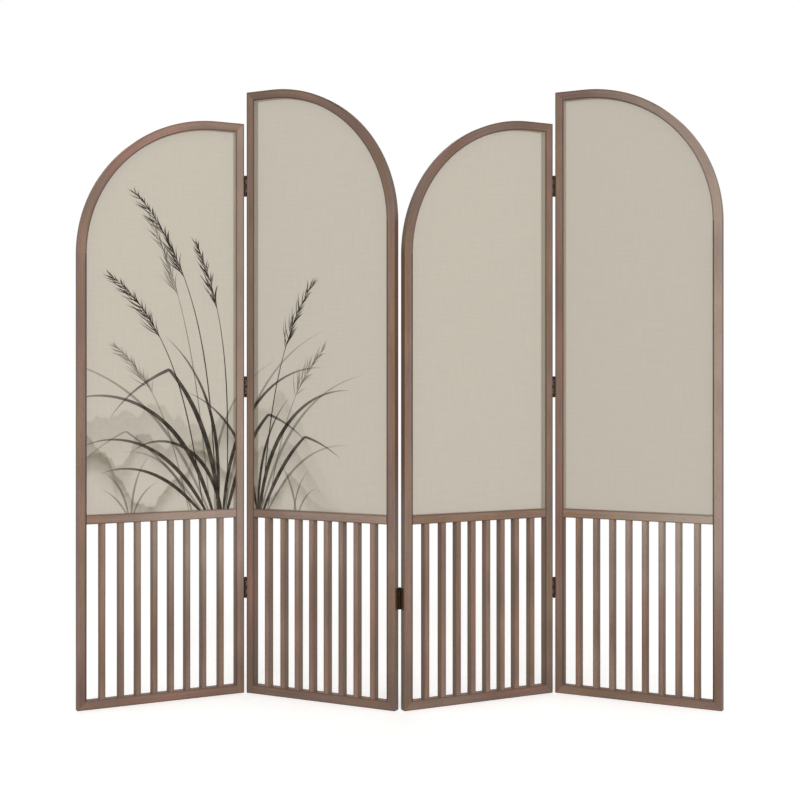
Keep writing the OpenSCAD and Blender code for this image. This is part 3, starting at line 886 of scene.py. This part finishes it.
def plumeTree(name, material):
    # short hairs spring from both sides of each plume's line and shorten towards its tip
    tree, put, given = newTree(name, Float=["Width", "Spacing", "Hair", "Lean"], Int=["Seed"])
    even = put("GeometryNodeResampleCurve", {
        "Curve": given["Geometry"], "Length": given["Spacing"]}, mode="LENGTH")
    reach = put("GeometryNodeSplineParameter").outputs["Factor"]
    facing = put("FunctionNodeAlignRotationToVector", {
        "Vector": put("GeometryNodeInputTangent")}, axis="X", pivot_axis="Z")
    back = put("ShaderNodeMath", [given["Lean"], -1.0], operation="MULTIPLY")
    lean = put("FunctionNodeRandomValue", {
        2: back, 3: given["Lean"], "Seed": given["Seed"]}, data_type="FLOAT")
    swing = put("ShaderNodeCombineXYZ", {2: lean})
    turned = put("FunctionNodeEulerToRotation", [swing])
    both = put("FunctionNodeRotateRotation", [facing, turned], rotation_space="LOCAL")
    short = put("ShaderNodeMapRange", [reach, 0.0, 1.0, 1.0, grass["hairTip"]])
    uneven = put("FunctionNodeRandomValue", {
        2: grass["hairUneven"][0], 3: grass["hairUneven"][1], "Seed": given["Seed"]},
        data_type="FLOAT")
    size = put("ShaderNodeMath", [short, uneven], operation="MULTIPLY")
    middle, end = (put("ShaderNodeVectorMath", [spot, given["Hair"]], operation="SCALE")
                   for spot in (grass["hairBow"], (1.0, 0.0, 0.0)))
    hair = put("GeometryNodeCurveQuadraticBezier", {
        "Resolution": grass["hairSteps"], "Start": (0, 0, 0), "Middle": middle, "End": end})
    hairs = put("GeometryNodeInstanceOnPoints", {
        "Points": even, "Instance": hair, "Rotation": both, "Scale": size})
    loose = put("GeometryNodeRealizeInstances", [hairs])
    full = put("GeometryNodeSetCurveRadius", {"Curve": loose, "Radius": 1.0})
    put("NodeGroupOutput", {0: brushed(put, full, given["Width"], material)})
    return tree


def arcPath(root, heading, length, bend, power, folded=0):
    # a line that starts at heading, bends more and more towards its tip, and may turn at a fold
    x, y, points, steps = root, grass["foot"] - grass["rootDepth"], [], grass["pathSteps"]
    for k in range(steps + 1):
        points.append((x, y))
        reach = (k + 0.5) / steps
        turn = math.radians(heading + bend * reach ** power
                            + (folded if reach > grass["foldAt"] else 0))
        x += math.sin(turn) * length / steps
        y += math.cos(turn) * length / steps
    return points


def drawLines(name, lines):
    # flat curves, one spline a line, each a hair's breadth in front of the last
    data = bpy.data.curves.new(name, "CURVE")
    data.dimensions = "3D"
    for order, (points, width) in enumerate(lines):
        spline = data.splines.new("POLY")
        spline.points.add(len(points) - 1)
        for spot, (x, y) in zip(spline.points, points):
            spot.co = (x, y, order * grass["overlap"], 1.0)
            spot.radius = width
    return addObject(name, data)


def cutToBay(meshes, panel):
    # the strokes that show in one bay, cut off at its frame, in the row's place
    start = 0.0 if panel == 1 else grass["fold"]
    form = bmesh.new()
    for mesh in meshes:
        form.from_mesh(mesh)
    for spot, outward in (((start + grass["bayStart"], 0, 0), (-1, 0, 0)),
                          ((start + grass["bayWidth"], 0, 0), (1, 0, 0)),
                          ((0, grass["foot"], 0), (0, -1, 0))):
        bmesh.ops.bisect_plane(form, geom=form.verts[:] + form.edges[:] + form.faces[:],
                               plane_co=spot, plane_no=outward, clear_outer=True)
    origin = layout["width"] - layout["stock"] if panel == 1 else layout["stock"] - start
    lay = Matrix(((layout["side"][panel], 0, 0, origin),
                  (0, 0, -1, gauze["inset"] - grass["lift"]), (0, 1, 0, 0), (0, 0, 0, 1)))
    bmesh.ops.transform(form, matrix=standPanel(panel) @ lay, verts=form.verts)
    faceOut = standPanel(panel).to_3x3() @ Vector((0, -1, 0))
    form.normal_update()
    turned = [face for face in form.faces if face.normal.dot(faceOut) < 0]
    bmesh.ops.reverse_faces(form, faces=turned)
    return form


for group, (inkName, load, dark, light) in brush["inks"].items():
    inked = brushInk(inkName, ink[dark], ink[light], load)
    lines, plumes = [], []
    for root, heading, length, bend, plume in stems[group]:
        path = arcPath(root, heading, length, bend, grass["stemBend"])
        lines.append((path, grass["stemWidth"] / grass["bladeWidth"]))
        plumes.append((path[-max(2, round((len(path) - 1) * plume / length)):], 1.0))
    for root, heading, length, bend, width, folded in blades[group]:
        lines.append((arcPath(root, heading, length, bend, grass["bladeBend"], folded), width))
    strokeHost = drawLines(f"{group}Strokes", lines)
    plumeHost = drawLines(f"{group}Plumes", plumes)
    strokes = runTree(f"{group}Blades", strokeTree(f"{group}Stroke", inked), strokeHost, {
        "Width": grass["bladeWidth"], "Step": grass["bladeStep"]})
    hairs = runTree(f"{group}Hairs", plumeTree(f"{group}Plume", inked), plumeHost, {
        "Width": grass["hairWidth"], "Spacing": grass["hairSpacing"],
        "Hair": grass["hairLength"], "Lean": grass["lean"], "Seed": grass["seed"]})
    for panel in (1, 2):
        mesh = keepForm(cutToBay([strokes.data, hairs.data], panel), f"panel_{panel}_{inkName}")
        mesh.materials.append(inked)
        drawing = addObject(f"panel_{panel}_{inkName}", mesh)
        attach(drawing, f"panel_{panel}")
    for helper in (strokeHost, plumeHost, strokes, hairs):
        bpy.data.objects.remove(helper)
print("drawing done:", sum(len(blades[group]) + len(stems[group]) for group in stems), "lines")


def seenDirectly(put):
    # 1 where the camera sees something, straight, mirrored or through glass, else 0
    path = put("ShaderNodeLightPath").outputs
    seen = path["Is Camera Ray"]
    for other in ("Is Glossy Ray", "Is Transmission Ray"):
        seen = put("ShaderNodeMath", [seen, path[other]], operation="MAXIMUM")
    return seen


# Matt white paper: the camera sees it white with the object's shadow on it
floorPlan = {"size": 14.0, "bounce": "#e6e4e0", "base": 0.41, "catch": (0.80, 0.816),
             "fibres": 3.0, "fade": (1.3, 2.6)}   # over this span it turns plain white
floorMesh = bpy.data.meshes.new("studioFloor")
edge = floorPlan["size"] / 2
floorMesh.from_pydata([(-edge, -edge, 0), (edge, -edge, 0), (edge, edge, 0), (-edge, edge, 0)],
                      [], [(0, 1, 2, 3)])
addObject("studioFloor", floorMesh)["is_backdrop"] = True
paper, put = startMaterial("mattPaper")
seen = seenDirectly(put)
where = put("ShaderNodeTexCoord").outputs["Object"]
fibres = put("ShaderNodeTexNoise", [where, floorPlan["fibres"]])
shade = put("ShaderNodeMapRange", [fibres, 0.0, 1.0, *floorPlan["catch"]])
matt = put("ShaderNodeBsdfDiffuse", [shade])
glow = put("ShaderNodeEmission", [(1, 1, 1, 1), floorPlan["base"]])
lit = put("ShaderNodeAddShader", [matt, glow])
away = put("ShaderNodeVectorMath", [where], operation="LENGTH")
fade = put("ShaderNodeMapRange", [away, *floorPlan["fade"]], **smooth)
bright = put("ShaderNodeEmission", [(1, 1, 1, 1), 1.0])
white = put("ShaderNodeMixShader", [fade, lit, bright])
plain = put("ShaderNodeBsdfDiffuse", [tone(floorPlan["bounce"])])
put("ShaderNodeOutputMaterial", [put("ShaderNodeMixShader", [seen, plain, white])])
floorMesh.materials.append(paper)

studio = {
    "sky": 0.50, "skyTint": "#fffdf8", "aim": (0, 0, 0.95),
    "lamps": {"softKey": {"power": 1690.0, "size": 8.1, "place": (0.8, -13.0, 5.4)},
              "softFill": {"power": 620.0, "size": 9.0, "place": (-2.0, 12.0, 6.0)}},
}
world = bpy.data.worlds.new("studioAir")
bpy.context.scene.world = world
world.use_nodes = True
world.node_tree.nodes.clear()
put = partial(addNode, world.node_tree)
soft = put("ShaderNodeBackground", [tone(studio["skyTint"]), studio["sky"]])
blank = put("ShaderNodeBackground", [(1, 1, 1, 1), 1.0])
air = put("ShaderNodeMixShader", [seenDirectly(put), soft, blank])
put("ShaderNodeOutputWorld", [air])

for lamp, plan in studio["lamps"].items():
    light = bpy.data.lights.new(lamp, "AREA")
    light.shape = "SQUARE"
    light.size = plan["size"]
    light.energy = plan["power"]
    box = addObject(lamp, light)
    box.location = plan["place"]
    box.rotation_euler = (Vector(studio["aim"]) - box.location).to_track_quat("-Z", "Y").to_euler()

# The camera stands 3.74 m in front of the screen's middle, level, at 0.93 m
shot = {"place": (0, -3.7406, 0.929),
        "lens": {"sensor_width": 36.0, "lens": 57.6, "shift_x": 0.0004, "shift_y": -0.0213}}
lens = bpy.data.cameras.new("shotCamera")
for setting, value in shot["lens"].items():
    setattr(lens, setting, value)
shotCamera = addObject("shotCamera", lens)
shotCamera.location = shot["place"]
shotCamera.rotation_euler = (math.pi / 2, 0, 0)
bpy.context.scene.camera = shotCamera
bpy.context.scene.view_settings.view_transform = "Standard"
print("stage, light and camera set")

low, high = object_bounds()
